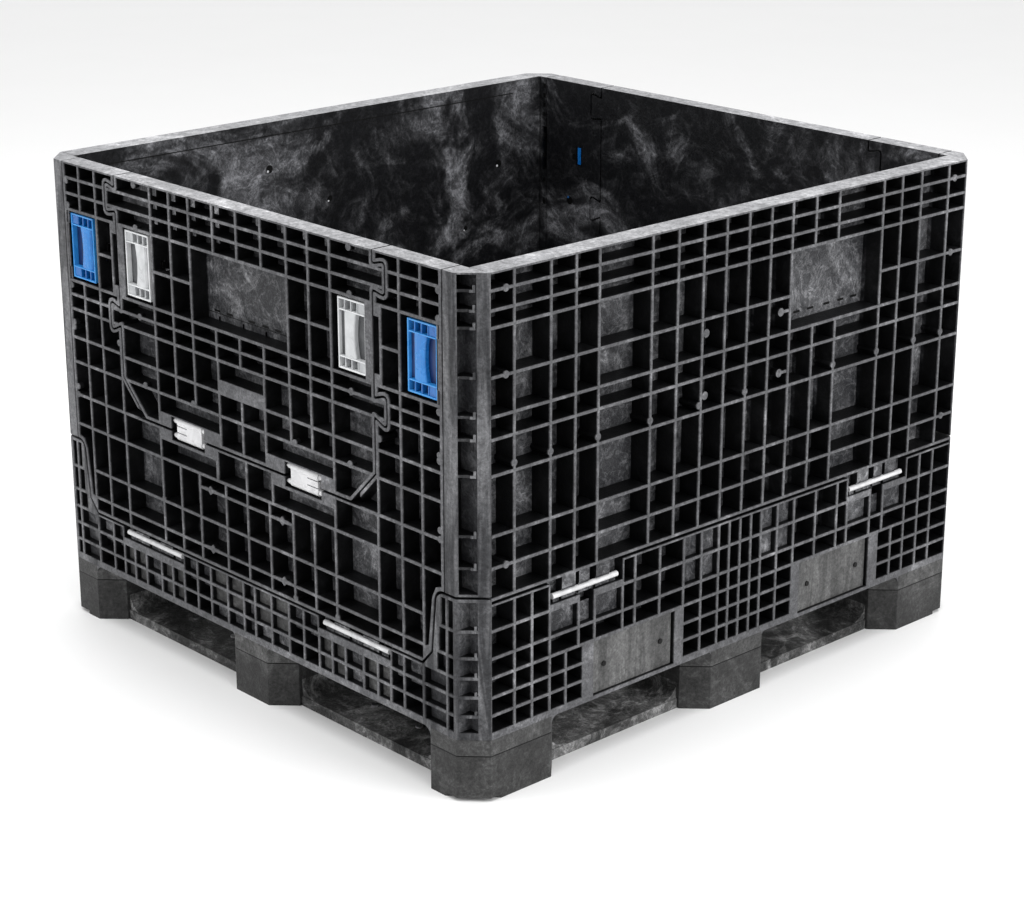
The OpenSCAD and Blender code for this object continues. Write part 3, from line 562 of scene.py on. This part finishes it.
for end in ("front", "back"):
    # small ticks in the door's top rows and below its label field, and round bosses on its ribs
    trim = Piece(f"{end}_door_ticks", [BLACK], f"{end}_door", "black_plastic")
    for s in (1, -1):
        for line in (0.065, 0.1315, 0.187, 0.242):
            u1 = s * (line - 0.0026)
            trim.block(end, (u1 - s * 0.0125, u1), (0.8465, 0.8620), (0.0050, 0.0125))
            trim.block(end, (u1 - s * 0.0110, u1), (0.8235, 0.8335), (0.0060, 0.0130))
            trim.block(end, (u1 - s * 0.0100, u1), (0.7970, 0.8055), (0.0070, 0.0130))
        for u0, z0 in ((0.289, 0.7815), (0.289, 0.6235), (0.282, 0.5005), (0.140, 0.5005),
                       (0.289, 0.8570)):
            trim.disc(end, s * u0, z0, 0.0062, BOSS)
        for c in (0.031, 0.097, 0.160, 0.214):
            trim.block(end, (s * (c - 0.0007), s * (c + 0.0007)), (0.6515, 0.6590), (0.0300, 0.0341))
    trim.done()
    # painted shade: dark marks for the notches, and a thin dark line, at the foot of the label field
    notches = Piece(f"{end}_label_notches", [SHADE_BLACK], f"{end}_door", "black_plastic", 0)
    for c in (-0.105, -0.070, -0.010, 0.028, 0.062, 0.108):
        notches.block(end, (c - 0.0080, c + 0.0080), (0.6650, 0.6690), DOOR_MARK)
    notches.block(end, (-0.127, 0.127), (0.6625, 0.6636), DOOR_MARK)
    notches.done()
    # plates beside the wall latches, and round bosses above and below them
    cheek = Piece(f"{end}_latch_cheeks", [BLACK], f"{end}_wall", "black_plastic")
    for s in (1, -1):
        cheek.block(end, (s * 0.4945, s * 0.5010), (0.6735, 0.7545), (0.0005, 0.0135))
        cheek.block(end, (s * 0.4945, s * 0.4975), (0.6520, 0.7760), (0.0005, 0.0135))
        cheek.disc(end, s * 0.4985, 0.7860, 0.0062, BOSS)
        for z0 in (0.449, 0.5705, 0.8300):
            cheek.disc(end, s * 0.4985, z0, 0.0058, BOSS)
    cheek.done()
    # stand-ins on the wall's inner face for what shows of the latch, with painted-shade black for the
    # openings and blue for the latch seen in them; they ride on the wall
    window = Piece(f"{end}_latch_windows", [SHADE_BLACK, BLUE], f"{end}_wall", "black_plastic", 0)
    for s in (1, -1):
        window.block(end, (s * 0.402, s * 0.419), (0.694, 0.734), (0.0375, 0.0384), 0)
        window.block(end, (s * 0.419, s * 0.428), (0.704, 0.716), (0.0375, 0.0384), 0)
        window.block(end, (s * 0.404, s * 0.413), (0.696, 0.731), (0.0380, 0.0388), 1)
        window.disc(end, s * 0.437, 0.616, 0.0085, (0.0375, 0.0383), 0)
        window.disc(end, s * 0.441, 0.622, 0.0022, (0.0378, 0.0386), 1)
    window.done()
    # teeth up the inner corners, with a dark mark of painted shade for the slot beside each
    teeth = Piece(f"{end}_corner_teeth", [BLACK, SHADE_BLACK], "base", "black_plastic", 0)
    for s in (1, -1):
        for z0 in (0.600, 0.648, 0.700, 0.742, 0.786, 0.806, 0.826, 0.846):
            teeth.block(end, (s * 0.5105, s * 0.5175), (z0 - 0.0045, z0 + 0.0045),
                        (0.0377, 0.0386), 1)
            teeth.block(end, (s * 0.5175, s * 0.5205), (z0 - 0.0055, z0 + 0.0055),
                        (0.0377, 0.0392), 0)
    teeth.done()
    # diamond and round bosses on the lower panel's ribs
    diamonds = Piece(f"{end}_panel_bosses", [BLACK], f"{end}_wall", "black_plastic")
    for u0 in (-0.100, 0.100):
        for z0 in (0.246, 0.354):
            ring = [(u0 - 0.0095, z0), (u0, z0 - 0.0085), (u0 + 0.0095, z0), (u0, z0 + 0.0085)]
            diamonds.plate(end, ring, 0.0003, 0.0130)
            diamonds.block(end, (u0 - 0.0170, u0 + 0.0170), (z0 - 0.0032, z0 + 0.0032),
                           (0.0004, 0.0120))
    for u0, z0 in ((0.241, 0.2245), (-0.241, 0.300), (0.4985, 0.434), (-0.4985, 0.434),
                   (0.130, 0.2245)):
        diamonds.disc(end, u0, z0, 0.0058, (0.0003, 0.0110))
    diamonds.done()

# small hooks at the outer ends of the ribs in the corner channels
hooks = Piece("corner_hooks", [POST], "base", "black_plastic", 0.0005)
HOOK_ROWS = (0.395, 0.4475, 0.545, 0.603, 0.639, 0.701, 0.778, 0.805, 0.8355,
             0.147, 0.1795, 0.212, 0.246, 0.291)
HOOK_PLAN = ((0.5495, 0.5925), (0.5530, 0.5890), (0.5560, 0.5860),
             (0.5545, 0.5835), (0.5515, 0.5860), (0.5480, 0.5895))
for sx in (1, -1):
    for sy in (1, -1):
        for z0 in HOOK_ROWS:
            for plan, low, high in ((HOOK_PLAN, -0.0022, 0.0022), (HOOK_PLAN[1:5], 0.0020, 0.0095)):
                hooks.hull([(sx * px, sy * py, z0 + low) for px, py in plan],
                           [(sx * px, sy * py, z0 + high) for px, py in plan])
hooks.done()

for face in ("right", "left"):
    # stand-ins for dimples and small holes inside the plain walls: painted-shade discs for the
    # dimples and pale discs for the light in the holes
    marks = Piece(f"{face}_wall_marks", [SHADE_BLACK, PALE], "base", "black_plastic", 0)
    for y0, z0, r in ((-0.138, 0.774, 0.008), (0.007, 0.694, 0.006), (0.453, 0.697, 0.008),
                      (0.361, 0.575, 0.005), (-0.330, 0.640, 0.007)):
        u0 = y0 if face == "right" else -y0
        marks.disc(face, u0, z0, r, (0.0435, 0.0443), 0)
        marks.disc(face, u0 + 0.004, z0 - 0.004, r * 0.3, (0.0437, 0.0446), 1)
    marks.done()
    # painted shade: dark marks for the notches at the foot of the label field
    notches = Piece(f"{face}_label_notches", [SHADE_BLACK], "base", "black_plastic", 0)
    for c in (0.130, 0.170, 0.205, 0.248, 0.285, 0.320):
        notches.block(face, (c - 0.0080, c + 0.0080), (0.6520, 0.6560), (0.0397, 0.0401))
    notches.done()

# shallow backing in some cells of the rims under the drop doors
for end in ("front", "back"):
    backing = Piece(f"{end}_rim_backing", [SHALLOW], "base", "black_plastic", 0)
    for s in (1, -1):
        for columns, rows in (
                (((0.1905, 0.225), (0.225, 0.2595), (0.306, 0.342), (0.342, 0.375)),
                 ((0.1165, 0.147), (0.147, 0.1795))),
                (((0.016, 0.062), (0.062, 0.110)),
                 ((0.147, 0.1795), (0.1795, 0.2115)))):
            for a, b in columns:
                for z0, z1 in rows:
                    backing.block(end, (s * (a + RIB_GAP), s * (b - RIB_GAP)),
                                  (z0 + RIB_GAP, z1 - RIB_GAP), (0.0095, 0.0141))
    backing.done()
    # stops that close the widest part of the hinge-rod slots, clear of the swing of the wall's foot
    stops = Piece(f"{end}_hinge_stops", [BLACK], "base", "black_plastic")
    for s in (1, -1):
        for u0, u1 in ((0.1885, 0.2035), (0.3615, 0.3765)):
            stops.block(end, (s * u0, s * u1), (0.1920, 0.2115), (0.0150, 0.0172))
    stops.done()

# rounded corners at the top of the fork openings
webs = Piece("fork_opening_webs", [BLACK], "base", "black_plastic")
for face, corner, middle in (("front", 0.471, 0.046), ("back", 0.471, 0.046),
                             ("right", 0.440, 0.064), ("left", 0.440, 0.064)):
    for s in (1, -1):
        for at, r, t in ((corner, 0.016, -1), (middle, 0.008, 1)):
            arc = [(s * (at + t * r * (1 - math.sin(a))), FORK_TOP - r * (1 - math.cos(a)))
                   for a in [math.radians(90 * i / 8) for i in range(9)]]
            webs.plate(face, [(s * (at - t * 0.0005), FORK_TOP + 0.0005)] + arc, 0.0004, 0.012)
webs.done()

# ramps that lead from the bottom boards up to the feet
ramps = Piece("board_ramps", [BOARD], "base", "black_plastic")
RAMP_RUN, RAMP_RISE = 0.040, 0.030
RAMP_FOOT, BOARD_TOP = 0.0175, 0.018
rise = [(RAMP_RUN * (1 - math.cos(math.radians(a))), RAMP_RISE * (1 - math.sin(math.radians(a))))
        for a in range(0, 91, 15)]
for s in (1, -1):
    for y0, y1 in ((-0.5656, -0.4596), (-0.053, 0.053), (0.4596, 0.5656)):
        for at, t in ((0.084, 1), (0.433, -1)):
            ring = [(s * at, RAMP_FOOT)] + [(s * (at + t * dx), BOARD_TOP + dz) for dx, dz in rise]
            ramps.hull([(x, y0, z) for x, z in ring], [(x, y1, z) for x, z in ring])
    for x0, x1 in ((-0.5275, -0.4215), (-0.053, 0.053), (0.4215, 0.5275)):
        for at, t in ((0.102, 1), (0.402, -1)):
            ring = [(s * at, RAMP_FOOT)] + [(s * (at + t * dy), BOARD_TOP + dz) for dy, dz in rise]
            ramps.hull([(x0, y, z) for y, z in ring], [(x1, y, z) for y, z in ring])
ramps.done()

for name, obj in nodes.items():
    # a bevel round the plates' small bores would crease their flat faces
    if "wear_plates" not in name:
        soften(obj, 0.0004 if "screw" in name else 0.0008)

bpy.context.scene.view_settings.view_transform = "Standard"
